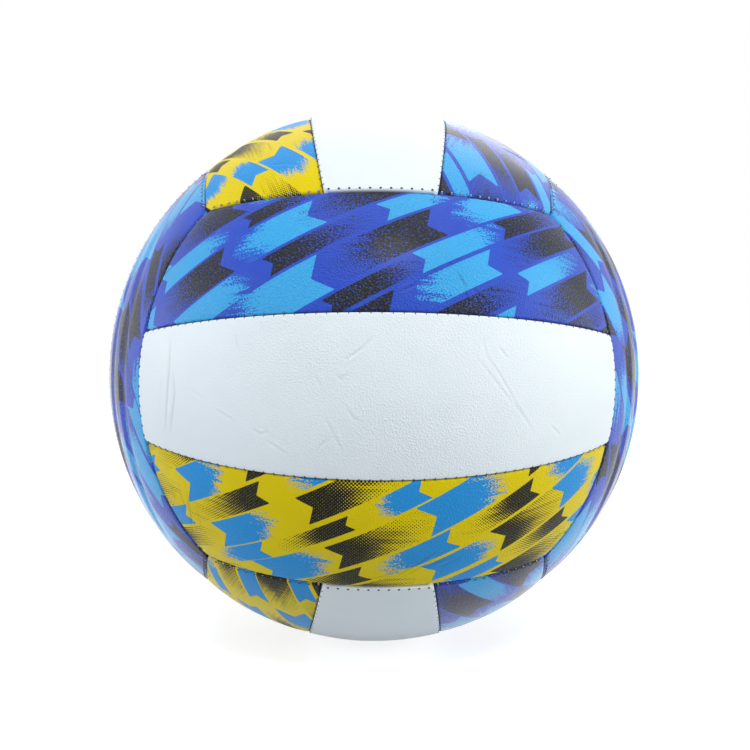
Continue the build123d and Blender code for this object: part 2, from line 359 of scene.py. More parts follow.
def panelDrop(kind, grid, s, t, strokes, rng):
    facts = seamFacts(kind, grid)
    drop = np.zeros(grid.shape[:2])
    for sort, distance, along in facts:
        profile, inside = profiles[kind][sort], np.maximum(distance, 0)
        dents = puckers(along, panelLook["stitchPitch"], panelLook["puckerWidth"])
        dents = profile["pucker"] * dents * np.exp(-inside / profile["puckerReach"])
        drop += fall(profile, inside) + dents
    # the corners are rounded: past the rounding the cover dips into the seam
    acrossIn = np.minimum(facts[0][1], facts[2][1])
    alongIn = np.minimum(facts[1][1], facts[3][1])
    radius, end = panelLook["cornerRadius"][kind], profiles[kind]["End"]
    short, tall = np.maximum(radius - acrossIn, 0), np.maximum(radius - alongIn, 0)
    rounded = radius - np.hypot(short, tall)
    most = panelLook["cornerSink"]
    sink = filletDrop(np.maximum(rounded, 0), end["radius"]) + np.clip(-most * rounded, 0, most)
    sink = np.where((short > 0) & (tall > 0), sink, 0)
    drop = np.maximum(drop, sink + end["crown"] * (sink > 0))
    calm = np.clip(np.minimum(acrossIn, alongIn) / panelLook["calmEdge"], 0, 1)
    creased, folds = creaseDrop(s, t, strokes)
    drop += calm * (creased + unevenDrop(grid, rng) + panelLook["unevenness"])
    return np.clip(drop, 0, panelLook["deepest"]), calm * folds


def seededCreases(rng, kind):
    strokes = []
    for _ in range(seededLook["count"]):
        s, t = rng.uniform(*seededLook["along"]), rng.uniform(*seededLook["across"][kind])
        turn, length = rng.uniform(0, 2 * math.pi), rng.uniform(*seededLook["length"])
        line = ((s, t), (s + length * math.cos(turn), t + length * math.sin(turn)))
        depth, width = rng.uniform(*seededLook["depth"]), rng.uniform(*seededLook["width"])
        strokes.append((line, depth, width))
    return strokes


# the print: lanes of arrow-ended bars on the slant, solid at the point and broken up behind
printLook = {
    "stripWidth": 44.3,
    "slant": 27,  # degrees between the lanes and the strip
    "laneWidths": (11.5, 8, 13, 9),
    "reach": 68,  # how far the lanes go to each side of the strip's middle
    "runFrom": -122, "runTo": 112, "firstGap": 30,
    "sideGap": (0, 1.2),
    "slope": 0.8,  # of the arrows' points
    "blank": -4.0,  # the distance written where no bar is near
    "tailRoom": 0.5,  # share of a tail that the next bar leaves free
    "blue": {
        "solid": {"accent": (7, 15), "dark": (8, 16)},
        "tail": {"accent": (12, 24), "dark": (16, 30)},
        "rest": (7, 19),
    },
    "yellow": {
        "solid": {"accent": (6, 12), "dark": (5, 10)},
        "tail": {"accent": (9, 18), "dark": (15, 28)},
        "rest": (9, 20),
    },
}


def printLayers(s, v, finish, rng):
    # for each layer: a signed distance to the shapes' hard edges, and how far the tail has faded
    names, runs = ("accent", "dark"), printLook[finish]
    layers = {n: [np.full(s.shape, printLook["blank"]), np.ones(s.shape)] for n in names}
    turn = math.radians(printLook["slant"])
    t = (v - 0.5) * printLook["stripWidth"]
    along = s * math.cos(turn) + t * math.sin(turn)
    across = t * math.cos(turn) - s * math.sin(turn)
    lane, laneStart = 0, -printLook["reach"]
    while laneStart < printLook["reach"]:
        laneWidth = printLook["laneWidths"][lane % len(printLook["laneWidths"])]
        fromMiddle = np.abs(across - laneStart - laneWidth / 2)
        point = along * (1 if lane % 2 else -1) + printLook["slope"] * fromMiddle
        place = printLook["runFrom"] + rng.uniform(0, printLook["firstGap"])
        order = lane % 2
        while place < printLook["runTo"]:
            name = names[order % 2]
            solid, tail = rng.uniform(*runs["solid"][name]), rng.uniform(*runs["tail"][name])
            behind = point - place
            sideRoom = laneWidth / 2 - rng.uniform(*printLook["sideGap"]) - fromMiddle
            edge = np.minimum(np.minimum(behind, solid + tail - behind), sideRoom)
            edgeSoFar, fadeSoFar = layers[name]
            nearer = edge > edgeSoFar
            fade = np.clip((behind - solid) / tail, 0, 1)
            layers[name] = [np.where(nearer, edge, edgeSoFar), np.where(nearer, fade, fadeSoFar)]
            place += solid + tail * printLook["tailRoom"] + rng.uniform(*runs["rest"])
            order += 1
        laneStart += laneWidth
        lane += 1
    return layers


# materials
def linear(hexColour):
    shares = [int(hexColour[i:i + 2], 16) / 255 for i in (1, 3, 5)]
    shares = [c / 12.92 if c <= 0.04045 else ((c + 0.055) / 1.055) ** 2.4 for c in shares]
    return (*shares, 1.0)


def newMaterial(name):
    material = bpy.data.materials.new(name)
    material.use_nodes = True
    material.node_tree.nodes.clear()
    return material, material.node_tree


def addNode(tree, kind, inputs=(), **settings):
    # inputs in the node's own order, or by name or number; gives back the node's outputs
    node = tree.nodes.new("ShaderNode" + kind)
    for key, value in settings.items():
        setattr(node, key, value)
    for key, value in inputs.items() if isinstance(inputs, dict) else enumerate(inputs):
        if isinstance(value, bpy.types.NodeSocket):
            tree.links.new(value, node.inputs[key])
        else:
            node.inputs[key].default_value = value
    return node.outputs


# Microfibre PU leather: a cloth coated with polyurethane, embossed with a fine pebble grain and
# then printed. It gives a soft satin sheen, small pebbles that catch the light, and a print that
# wears thin on their tops; the worn ink's lighter colour is partly wear, partly a painted glint.
# A thin, smooth varnish over the blue print pales it near the outline.
# the last colour of each look is painted shade, laid into the creases' valleys
coverLooks = {
    "white": {
        "name": "PuLeatherWhite", "base": "#e9f2f9", "toned": "#e2ecf4", "creaseShade": "#bcc5cd",
        "roughness": 0.42, "gloss": 0.32, "varnish": 0.0, "grain": 0.46, "endGrain": 0.3,
    },
    "blue": {
        "name": "PuLeatherBluePrint", "base": "#2b57c8", "toned": "#2741bc", "creaseShade": "#1c2c74",
        "roughness": 0.34, "gloss": 0.30, "varnish": 1.0, "grain": 0.75, "endGrain": 1.0,
        # each ink's second, lighter colour is worn ink: partly wear, partly a painted glint of the
        # grain
        "layers": {
            "accent": {"colour": "#36a7e8", "wearAndGlint": "#5bb4e6", "screen": "scatter", "full": 1.3},
            "dark": {"colour": "#080c14", "wearAndGlint": "#434b5a", "screen": "scatter", "full": 0.74},
        },
    },
    "yellow": {
        "name": "PuLeatherYellowPrint", "base": "#e6d200", "toned": "#dec600", "creaseShade": "#80700c",
        "roughness": 0.38, "gloss": 0.20, "varnish": 0.0, "grain": 0.55, "endGrain": 1.0,
        # each ink's second, lighter colour is worn ink: partly wear, partly a painted glint of the
        # grain
        "layers": {
            "accent": {"colour": "#2793de", "wearAndGlint": "#3b9cdc", "screen": "scatter", "full": 1.3},
            "dark": {"colour": "#10120a", "wearAndGlint": "#3a3a2a", "screen": "rows", "full": 0.64},
        },
    },
}
# sizes in mm; finer pebbles than these wouldn't show, so they are drawn as coarse as this
grainLook = {
    "pebble": 0.6, "pore": 0.32, "poreShare": 0.55, "emboss": 0.5,
    "patch": 14.0,
    "calmPatch": 38.0, "calmSpan": (0.35, 0.65), "calmGrain": 0.45,
    "tightSpan": (25.0, 60.0),
    # spots of worn ink: partly wear, partly a painted glint of the pebbles on the print
    "wearGlintSpot": 0.8, "wearGlintSpan": (0.5, 0.68), "wearAndGlint": 0.6,
    "ior": 1.35, "roughnessSpread": 0.08, "varnishIor": 1.10, "varnishRoughness": 0.2,
}
noiseSpan = (0.3, 0.7)  # most of a noise's values lie between these
# the print's screens: dots scattered like a dry brush's, and even rows on the slant;
# sizes in mm, the rows coarse enough to show
screens = {
    "scatter": {"pitch": 0.42, "stretch": 1.6, "scatter": 1.0, "slant": -27},
    "rows": {"pitch": 0.86, "stretch": 1.0, "scatter": 0.0, "slant": 45},
}
streakLook = {"length": 16.0, "width": 1.3, "depth": 0.32, "lastDot": 0.05}


def coverMaterial(look):
    material, tree = newMaterial(look["name"])
    place = addNode(tree, "UVMap", uv_map="panelMm")[0]
    patches, spots, calm, pores = (
        addNode(tree, "TexNoise", {
            "Vector": place, "Scale": 1 / grainLook[size], "Detail": detail, "Roughness": rough,
        })[0]
        for size, detail, rough in (
            ("patch", 3, 0.5), ("wearGlintSpot", 2, 0.5), ("calmPatch", 1, 0.5), ("pore", 3, 0.6),
        )
    )
    # colour: the paint's own small unevenness, and spots of lighter worn ink: partly wear, partly
    # painted glint
    colour = addNode(tree, "Mix", {
        0: patches, 6: linear(look["base"]), 7: linear(look["toned"]),
    }, data_type="RGBA")[2]
    wearAndGlint = addNode(tree, "MapRange", (spots, *grainLook["wearGlintSpan"], 0.0, grainLook["wearAndGlint"]))[0]
    for layerName, layer in look.get("layers", {}).items():
        # a screen of dots breaks up each shape's tail, and its end is streaked
        screen, depth = screens[layer["screen"]], streakLook["depth"]
        turned = addNode(tree, "Mapping", {
            "Vector": place, "Rotation": (0, 0, math.radians(screen["slant"])),
            "Scale": (1 / (screen["pitch"] * screen["stretch"]), 1 / screen["pitch"], 1.0),
        })[0]
        dots = addNode(tree, "TexVoronoi", {
            "Vector": turned, "Scale": 1.0, "Randomness": screen["scatter"],
        }, voronoi_dimensions="2D")["Distance"]
        drawnOut = addNode(tree, "Mapping", {
            "Vector": place, "Rotation": (0, 0, math.radians(-printLook["slant"])),
            "Scale": (1 / streakLook["length"], 1 / streakLook["width"], 1.0),
        })[0]
        streaks = addNode(tree, "TexNoise", {"Vector": drawnOut, "Scale": 1.0, "Detail": 2.0})[0]
        uneven = addNode(tree, "MapRange", (streaks, *noiseSpan, -depth, depth))[0]
        edge, fade = (
            addNode(tree, "Attribute", attribute_name=layerName + mark)["Fac"]
            for mark in ("Edge", "Fade")
        )
        ragged = addNode(tree, "Math", (uneven, fade, fade), operation="MULTIPLY_ADD")[0]
        dotSizes = (layer["full"], streakLook["lastDot"])
        size = addNode(tree, "MapRange", (ragged, 0.0, 1.0, *dotSizes))[0]
        inked = addNode(tree, "Math", (dots, size), operation="LESS_THAN")[0]
        within = addNode(tree, "Math", (edge, 0.0), operation="GREATER_THAN")[0]
        mask = addNode(tree, "Math", (inked, within), operation="MULTIPLY")[0]
        # the ink, lighter in the worn spots: partly wear, partly painted glint
        tint = addNode(tree, "Mix", {
            0: wearAndGlint, 6: linear(layer["colour"]), 7: linear(layer["wearAndGlint"]),
        }, data_type="RGBA")[2]
        colour = addNode(tree, "Mix", {0: mask, 6: colour, 7: tint}, data_type="RGBA")[2]
    # painted shade in the creases: their valleys darkened, most where deep and narrow
    folds = addNode(tree, "Attribute", attribute_name="folds")["Fac"]
    paintedShade = addNode(tree, "Math", (folds, creaseLook["paintedShade"]), operation="MULTIPLY")[0]
    colour = addNode(tree, "Mix", {
        0: paintedShade, 6: colour, 7: linear(look["creaseShade"]),
    }, data_type="RGBA")[2]
    # embossed grain: pebbles with finer pores between them, flatter in some places than others
    pebbles = addNode(tree, "TexVoronoi", {
        "Vector": place, "Scale": 1 / grainLook["pebble"], "Randomness": 1.0,
    }, feature="SMOOTH_F1", voronoi_dimensions="2D")["Distance"]
    both = (pores, grainLook["poreShare"], pebbles)
    height = addNode(tree, "Math", both, operation="MULTIPLY_ADD")[0]
    strengths = (grainLook["calmGrain"] * look["grain"], look["grain"])
    strength = addNode(tree, "MapRange", (calm, *grainLook["calmSpan"], *strengths))[0]
    # pulled tight towards the strip's ends, a cover loses some of its grain there
    along = addNode(tree, "SeparateXYZ", (place,))[0]
    fromMiddle = addNode(tree, "Math", (along,), operation="ABSOLUTE")[0]
    shares = (1.0, look["endGrain"])
    grainLeft = addNode(tree, "MapRange", (fromMiddle, *grainLook["tightSpan"], *shares))[0]
    strength = addNode(tree, "Math", (strength, grainLeft), operation="MULTIPLY")[0]
    bump = addNode(tree, "Bump", {
        "Height": height, "Strength": strength, "Distance": grainLook["emboss"] * mm,
    })[0]
    spread = grainLook["roughnessSpread"]
    shines = (look["roughness"] - spread, look["roughness"] + spread)
    skin = addNode(tree, "BsdfPrincipled", {
        "Base Color": colour, "Normal": bump,
        "Roughness": addNode(tree, "MapRange", (pores, *noiseSpan, *shines))[0],
        "IOR": grainLook["ior"], "Specular IOR Level": look["gloss"],
        "Coat Weight": look["varnish"], "Coat IOR": grainLook["varnishIor"],
        "Coat Roughness": grainLook["varnishRoughness"],
    })
    addNode(tree, "OutputMaterial", {"Surface": skin[0]})
    return material


# Plain finishes share one recipe: a mottled colour, and a bump from one noise of a given size in
# mm. The thread's plies and the cloth's weave are drawn coarser than they are, so that they show.
plainLooks = {
    # Bonded polyester sewing thread, twisted and waxed: an off-white with darker dips in the twist.
    "thread": {
        "name": "PolyesterThread", "base": "#e6e9ea", "toned": "#c9cfd3", "roughness": 0.55,
        "grainSize": 0.35, "grain": 0.5, "ior": 1.5,
    },
    # The same thread deep in a seam, painted dark: painted shade for thread down in the groove.
    "darkThread": {
        "name": "ThreadPaintedShade", "base": "#23262c", "toned": "#343840", "roughness": 0.7,
        "grainSize": 0.35, "grain": 0.4, "ior": 1.5,
    },
    # EVA foam faced with a woven cloth: matt, with a slightly dirty cream colour.
    "foam": {
        "name": "EvaFoamCloth", "base": "#cfc8b6", "toned": "#b9b19c", "roughness": 0.9,
        "grainSize": 0.8, "grain": 0.6, "ior": 1.45,
    },
    # Butyl rubber, dipped: a dull black bloom.
    "bladder": {
        "name": "ButylRubber", "base": "#26272a", "toned": "#34363a", "roughness": 0.62,
        "grainSize": 3.0, "grain": 0.2, "ior": 1.52,
    },
    # Moulded natural rubber: dark grey, smooth from the mould, a little dusty.
    "valve": {
        "name": "MouldedValveRubber", "base": "#2b2d30", "toned": "#3b3e42", "roughness": 0.5,
        "grainSize": 0.6, "grain": 0.3, "ior": 1.52,
    },
}
plainDepth = 0.3  # the bump's height as a share of its grain


def plainMaterial(look):
    material, tree = newMaterial(look["name"])
    place = addNode(tree, "TexCoord")["Object"]
    grain = addNode(tree, "TexNoise", {
        "Vector": place, "Scale": 1 / (look["grainSize"] * mm), "Detail": 4.0, "Roughness": 0.6,
    })[0]
    colour = addNode(tree, "Mix", {
        0: grain, 6: linear(look["base"]), 7: linear(look["toned"]),
    }, data_type="RGBA")[2]
    bump = addNode(tree, "Bump", {
        "Height": grain, "Strength": look["grain"], "Distance": plainDepth * look["grainSize"] * mm,
    })[0]
    skin = addNode(tree, "BsdfPrincipled", {
        "Base Color": colour, "Roughness": look["roughness"], "Normal": bump, "IOR": look["ior"],
    })
    addNode(tree, "OutputMaterial", {"Surface": skin[0]})
    return material


covers = {name: coverMaterial(look) for name, look in coverLooks.items()}
plains = {name: plainMaterial(look) for name, look in plainLooks.items()}
print("materials made:", len(covers) + len(plains))


# meshes
def newPiece(name, verts, polygons, materials, nodes):
    mesh = bpy.data.meshes.new(name)
    mesh.from_pydata((verts * mm).tolist(), [], polygons)
    for material in materials:
        mesh.materials.append(material)
    mesh.polygons.foreach_set("use_smooth", np.ones(len(mesh.polygons), bool))
    piece = bpy.data.objects.new(name, mesh)
    scene.collection.objects.link(piece)
    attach(piece, "root")
    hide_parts(*nodes)
    return piece


def faceOutwards(mesh, weld=0.0):
    shell = bmesh.new()
    shell.from_mesh(mesh)
    if weld:
        bmesh.ops.remove_doubles(shell, verts=shell.verts, dist=weld)
    bmesh.ops.recalc_face_normals(shell, faces=shell.faces)
    shell.to_mesh(mesh)
    shell.free()


def gridQuads(index):
    low, high = index[:-1, :-1], index[1:, 1:]
    return np.stack((low, index[1:, :-1], high, index[:-1, 1:]), -1).reshape(-1, 4)


def loopOf(index):
    # the outer ring of a grid of vertex numbers, once round
    return np.concatenate((index[:-1, 0], index[-1, :-1], index[:0:-1, -1], index[0, :0:-1]))


def bandQuads(upper, lower):
    return np.stack((upper, lower, np.roll(lower, -1), np.roll(upper, -1)), -1)


def coarseCells(index, step):
    # a coarse net over a fine grid, whose outer cells take in every vertex of the grid's rim
    columns = list(range(0, index.shape[0] - step, step)) + [index.shape[0] - 1]
    rows = list(range(0, index.shape[1] - step, step)) + [index.shape[1] - 1]
    cells = []
    for c0, c1 in zip(columns, columns[1:]):
        for r0, r1 in zip(rows, rows[1:]):
            low = index[c0:c1, r0] if r0 == 0 else index[c0:c0 + 1, r0]
            far = index[c1, r0:r1] if c1 == columns[-1] else index[c1, r0:r0 + 1]
            top = index[c1:c0:-1, r1] if r1 == rows[-1] else index[c1:c1 + 1, r1]
            near = index[c0, r1:r0:-1] if c0 == 0 else index[c0, r1:r1 + 1]
            cells.append(np.concatenate((low, far, top, near))[::-1].tolist())
    return cells


def onlyUsed(count, polygons):
    # the vertices that the polygons need, and the polygons by their new numbers
    used = np.unique(np.concatenate(polygons))
    renumber = np.full(count, -1)
    renumber[used] = np.arange(len(used))
    return used, [renumber[p].tolist() for p in polygons]


# the baking map: nearly all of it goes to a panel's outer face
bakeLook = {
    "bands": {0: (0.10, 0.90), 2: (0.0, 0.04), 4: (0.08, 0.015)},  # a start and a height
    "wallFrom": 0.045, "wallStep": 0.008, "wallHeight": 0.006,
}


def bakePlaces(parts, spread):
    baked = []
    for part, polygons in enumerate(parts):
        if part in bakeLook["bands"]:
            low, high = bakeLook["bands"][part]
            baked += [spread[np.concatenate(polygons)] * (1, high) + (0, low)]
        else:
            start = np.arange(len(polygons)) / len(polygons)
            end = start + 1 / len(polygons)
            low = bakeLook["wallFrom"] + bakeLook["wallStep"] * part
            high = low + bakeLook["wallHeight"]
            ring = ((start, low), (start, high), (end, high), (end, low))
            corners = [np.stack(np.broadcast_arrays(*pair), -1) for pair in ring]
            baked += [np.stack(corners, 1).reshape(-1, 2)]
    return np.concatenate(baked)


def makePanel(name, side, rows, seed):
    kind = "outer" if side else "middle"
    rng = np.random.default_rng(seed)
    spacing = panelLook["spacing"].get(name, panelLook["plainSpacing"])
    length = 2 * (math.pi / 2 - halfFace) * ballRadius
    width = printLook["stripWidth"] if side else middleWidth
    uShares = edgeShares(length, profiles[kind]["End"]["radius"], spacing)
    vShares = edgeShares(width, profiles[kind]["Edge" if side else "Strip"]["radius"], spacing)
    grid = stripGrid(kind, uShares, vShares, ball["seamGap"] / 2)
    s = ballRadius * np.arcsin(np.clip(grid[..., 0], -1, 1))
    t = ballRadius * np.arctan2(grid[..., 2], -grid[..., 1])
    strokes = creases.get(name) or seededCreases(rng, kind)
    if side < 0 and name in creases:  # the strip is turned half round, and so are its creases
        strokes = [([(-a, -b) for a, b in line], depth, wide) for line, depth, wide in strokes]
    drop, folds = panelDrop(kind, grid, s, t, strokes, rng)
    if name == valveStrip:
        drop = drop + filletDrop(np.hypot(s, t) - panelLook["valveHole"], panelLook["valveRim"])

    # a closed tray: outer face, walls, the foot of the turned edge, its inner walls, and the inside
    shape = grid.shape[:2]
    lip = panelLook["edgeSteps"]
    top = np.arange(shape[0] * shape[1]).reshape(shape)
    outer = grid * (ballRadius - drop)[..., None]
    foot = grid * (ballRadius - ball["wallDepth"])
    gives = np.clip(drop - panelLook["pocketFrom"], 0, panelLook["pocketMost"])
    pocket = grid * (ballRadius - ball["coverThickness"] - gives)[..., None]
    footIndex, pocketIndex = top + top.size, top + 2 * top.size
    inner = (slice(lip, -lip), slice(lip, -lip))
    frameCells = np.ones((shape[0] - 1, shape[1] - 1), bool)
    frameCells[inner] = False
    loops = [loopOf(index) for index in (top, footIndex, footIndex[inner], pocketIndex[inner])]
    parts = [
        gridQuads(top).tolist(),
        bandQuads(loops[0], loops[1]).tolist(),
        gridQuads(footIndex)[frameCells.ravel()][:, ::-1].tolist(),
        bandQuads(loops[2], loops[3]).tolist(),
        coarseCells(pocketIndex[inner], panelLook["liningStep"]),
    ]
    places = np.concatenate((outer, foot, pocket)).reshape(-1, 3)
    flatPlace = np.concatenate((np.stack((s, t), -1),) * 3).reshape(-1, 2)
    if name == valveStrip:
        away = np.hypot(*flatPlace.T)
        for part, share in ((0, 1), (4, panelLook["valveLining"])):
            hole = panelLook["valveHole"] * share
            parts[part] = [p for p in parts[part] if np.min(away[p]) > hole]

    spread = np.stack(np.meshgrid(uShares, vShares, indexing="ij"), -1).reshape(-1, 2)
    baked = bakePlaces(parts, np.concatenate((spread,) * 3))
    used, polygons = onlyUsed(len(places), sum(parts, []))
    finish = "white" if not side else "blue" if name in bluePrinted else "yellow"
    mesh = newPiece(
        name + "Cover", places[used] @ rows, polygons,
        [covers[finish]], [name + "_panel"],
    ).data
    corner = np.empty(len(mesh.loops), np.int32)
    mesh.loops.foreach_get("vertex_index", corner)
    for mapName, values in (("OFBake", baked), ("panelMm", flatPlace[used][corner])):
        flat = values.astype(np.float32).ravel()
        mesh.uv_layers.new(name=mapName).data.foreach_set("uv", flat)
    marks = {"folds": folds}
    if side:
        v = np.broadcast_to(vShares, shape)
        for layer, (edge, fade) in printLayers(s, v, finish, rng).items():
            marks[layer + "Edge"], marks[layer + "Fade"] = edge, fade
    for markName, values in marks.items():
        values = np.concatenate((values.ravel(),) * 3)[used].astype(np.float32)
        mesh.attributes.new(markName, "FLOAT", "POINT").data.foreach_set("value", values)
    if name == valveStrip:
        lineValveHole(mesh)


def lineValveHole(mesh):
    # round the opening off, turn its edge in and join it to the lining
    shell = bmesh.new()
    shell.from_mesh(mesh)
    lip = (ballRadius - panelLook["valveLip"]) * mm
    rim = [e for e in shell.edges if e.is_boundary and e.verts[0].co.y > lip]
    for vert in {v for e in rim for v in e.verts}:
        away = math.hypot(vert.co.x, vert.co.z)
        vert.co.x *= panelLook["valveHole"] * mm / away
        vert.co.z *= panelLook["valveHole"] * mm / away
        vert.co.y = (ballRadius - panelLook["valveRim"]) * mm
    turnedIn = bmesh.ops.extrude_edge_only(shell, edges=rim)["geom"]
    for vert in (g for g in turnedIn if isinstance(g, bmesh.types.BMVert)):
        vert.co.y -= panelLook["valveTurn"] * mm
    bmesh.ops.bridge_loops(shell, edges=[e for e in shell.edges if e.is_boundary])
    bmesh.ops.recalc_face_normals(shell, faces=shell.faces)
    for face in shell.faces:
        face.smooth = True
    shell.to_mesh(mesh)
    shell.free()


for seed, strip in enumerate(strips, panelLook["firstSeed"]):
    makePanel(*strip, seed)
print("panels made:", len(strips))

# backings: foam slabs in the covers' trays, drawn in a little towards their edges
backingLook = {
    "inset": 1.6, "outer": 1.65, "inner": 4.3, "columns": 49, "rows": 15,
    "edgeDip": 0.5, "dipRate": 9, "lengthShare": 4, "valveHole": 7.2,
}


def makeBacking(name, side, rows):
    columns, lines = (np.linspace(0, 1, backingLook[key]) for key in ("columns", "rows"))
    net = stripGrid("outer" if side else "middle", columns, lines, backingLook["inset"])
    toEnd = np.minimum(columns, 1 - columns)[:, None] * backingLook["lengthShare"]
    toEdge = np.minimum(toEnd, np.minimum(lines, 1 - lines)[None])
    dip = backingLook["edgeDip"] * np.exp(-toEdge * backingLook["dipRate"])
    upper = net * (ballRadius - backingLook["outer"] - dip)[..., None]
    lower = net * (ballRadius - backingLook["inner"])
    number = np.arange(dip.size).reshape(dip.shape)
    below = number + number.size
    polygons = gridQuads(number).tolist() + gridQuads(below)[:, ::-1].tolist()
    polygons += bandQuads(loopOf(number), loopOf(below)).tolist()
    verts = np.concatenate((upper, lower)).reshape(-1, 3)
    if name == valveStrip:  # the valve's head sits in a hole
        away = np.hypot(verts[:, 0], verts[:, 2])
        polygons = [p for p in polygons if np.min(away[p]) > backingLook["valveHole"]]
        used, polygons = onlyUsed(len(verts), polygons)
        verts = verts[used]
    slab = newPiece(
        name + "Foam", verts @ rows, polygons,
        [plains["foam"]], [name + "_backing"],
    )
    if name == valveStrip:
        hole = bmesh.new()
        hole.from_mesh(slab.data)
        bmesh.ops.bridge_loops(hole, edges=[e for e in hole.edges if e.is_boundary])
        hole.to_mesh(slab.data)
        hole.free()


for strip in strips:
    makeBacking(*strip)
print("backings made:", len(strips))

# stitches: between faces, white beads on the neighbours' edges, with dark discs beside that are
# painted shade for the needle holes; between strips, dark ticks of thread, and a dark lock thread
# at each seam's bottom, both painted shade. A path's places are a distance across the seam and a
# height, in mm
stitchLook = {
    "sides": 7,
    "lockSteps": 141,
    "Edge": {
        "threadRadius": 0.28, "slant": 0.2, "endRoom": 2.4,
        "lockRadius": 0.3, "lockDepth": 1.8,
        "path": (
            (-0.42, -0.8), (-0.46, -0.35), (-0.54, -0.02), (-0.68, 0.10), (-0.82, -0.02),
            (-0.90, -0.35), (-0.92, -0.8),
        ),
    },
    "Strip": {
        "threadRadius": 0.14, "slant": 0.0, "endRoom": 1.8,
        "lockRadius": 0.17, "lockDepth": 0.75,
        "path": (
            (0.72, -0.30), (0.52, 0.03), (0.25, 0.06), (0.0, 0.06), (-0.25, 0.06),
            (-0.45, 0.03), (-0.62, -0.30),
        ),
    },
    "hole": {"radius": 0.42, "reach": -0.80, "lift": -0.05, "depth": 0.10},
    "sunk": {"upperEdge": 0.0, "lowerEdge": 0.28, "white": 0.55},
}


def stitchDrop(sort, distance, along):
    # the panels' own fall beside a seam, where a stitch pulls them in
    inside = np.abs(distance)
    if sort == "Strip":
        sides = [profiles["middle" if distance > 0 else "outer"]["Strip"]]
    else:  # on the neighbour's side, where its strips end
        sides = [profiles["outer"]["End"], profiles["middle"]["End"]]
    dents = [side["pucker"] * np.exp(-inside / side["puckerReach"]) for side in sides]
    drops = [fall(side, inside) + dent for side, dent in zip(sides, dents)]
    return np.where(np.abs(along) < middleEndWidth / 2, drops[-1], drops[0])


def tubes(centres, outward, beside, radius):
    # one tube for each row of centres; beside lies across the tube, level with the ball
    sides = stitchLook["sides"]
    around = np.linspace(0, 2 * math.pi, sides, endpoint=False)[:, None]
    ring = np.cos(around) * outward[:, :, None] + np.sin(around) * beside[:, :, None]
    verts = centres[:, :, None] + radius * ring
    count, length = centres.shape[:2]
    number = np.arange(count * length * sides).reshape(count, length, sides)
    near, far = number[:, :-1], number[:, 1:]
    quads = np.stack((near, np.roll(near, -1, 2), np.roll(far, -1, 2), far), -1)
    caps = number[:, 0, ::-1].tolist() + number[:, -1].tolist()
    return verts.reshape(-1, 3), quads.reshape(-1, 4).tolist() + caps


def makeThreads(faceName, rows):
    verts, polygons, tints = [], [], []

    def take(newVerts, newPolygons, tint):
        first = sum(len(v) for v in verts)
        verts.append(newVerts)
        polygons.extend([[first + i for i in p] for p in newPolygons])
        tints.extend([tint] * len(newPolygons))

    for seamName in ("upperEdge", "upperStrip", "lowerStrip", "lowerEdge"):
        sort = seamSorts[seamName]
        look, seam = stitchLook[sort], seams[seamName]
        out, aside = seamBasis(seam, towardsFront)
        end = crossing(seams["rightEdge"], seam)
        reach = abs(math.atan2(end @ aside, end @ out))
        perTurn = ballRadius * math.sin(seam[1])
        count = int((reach * perTurn - look["endRoom"]) / panelLook["stitchPitch"])
        turns = np.arange(-count, count + 1) * panelLook["stitchPitch"] / perTurn
        along = turns * perTurn
        centres, outward, beside = [], [], []
        for distance, lift in look["path"]:
            lean = turns + look["slant"] * distance / perTurn
            place = seamPoints(narrowed(seam, distance), out, aside, lean)
            height = lift - stitchDrop(sort, distance, along)
            if sort == "Edge":  # the white strips' thicker padding lets the thread sink from sight
                sunk, onWhite = stitchLook["sunk"], np.abs(along) < middleEndWidth / 2
                height = height - np.where(onWhite, sunk["white"], sunk[seamName])
            centres.append(place * (ballRadius + height)[:, None])
            outward.append(place)
            beside.append(unit(np.cross(seam[0], place)))
        centres, outward, beside = (np.stack(x, 1) for x in (centres, outward, beside))
        bits = tubes(centres, outward, beside, look["threadRadius"])
        # the ticks between strips take the dark thread: painted shade
        take(*bits, 0 if sort == "Edge" else 1)
        # the thread that locks them, at the bottom of the seam, painted dark as painted shade
        line = np.linspace(-1, 1, stitchLook["lockSteps"]) * (reach - look["endRoom"] / perTurn)
        place = seamPoints(seam, out, aside, line)
        across = unit(np.cross(place, unit(np.cross(seam[0], place))))
        deep = place * (ballRadius - look["lockDepth"])
        take(*tubes(deep[None], place[None], across[None], look["lockRadius"]), 1)
        # needle holes drawn as flat dark discs: painted shade
        if sort == "Edge":  # the needle's holes: flat dark discs where the bits go in
            hole = stitchLook["hole"]
            lean = turns + look["slant"] * hole["reach"] / perTurn
            place = seamPoints(narrowed(seam, hole["reach"]), out, aside, lean)
            besideHole = unit(np.cross(seam[0], place))
            height = hole["lift"] - stitchDrop(sort, hole["reach"], along)
            ends = height[:, None] + np.array((0.0, hole["depth"]))
            stack = place[:, None] * (ballRadius + ends)[:, :, None]
            tangent = np.cross(place, besideHole)
            tangent, besideHole = (np.repeat(x[:, None], 2, 1) for x in (tangent, besideHole))
            take(*tubes(stack, tangent, besideHole, hole["radius"]), 1)
    piece = newPiece(
        faceName + "Stitches", np.concatenate(verts) @ rows, polygons,
        [plains["thread"], plains["darkThread"]], [faceName + "_seam_threads"],
    )
    piece.data.polygons.foreach_set("material_index", np.array(tints, np.int32))
    faceOutwards(piece.data)


for faceName, (along, across, _) in faces.items():
    makeThreads(faceName, faceRows(along, across))
print("faces stitched:", len(faces))

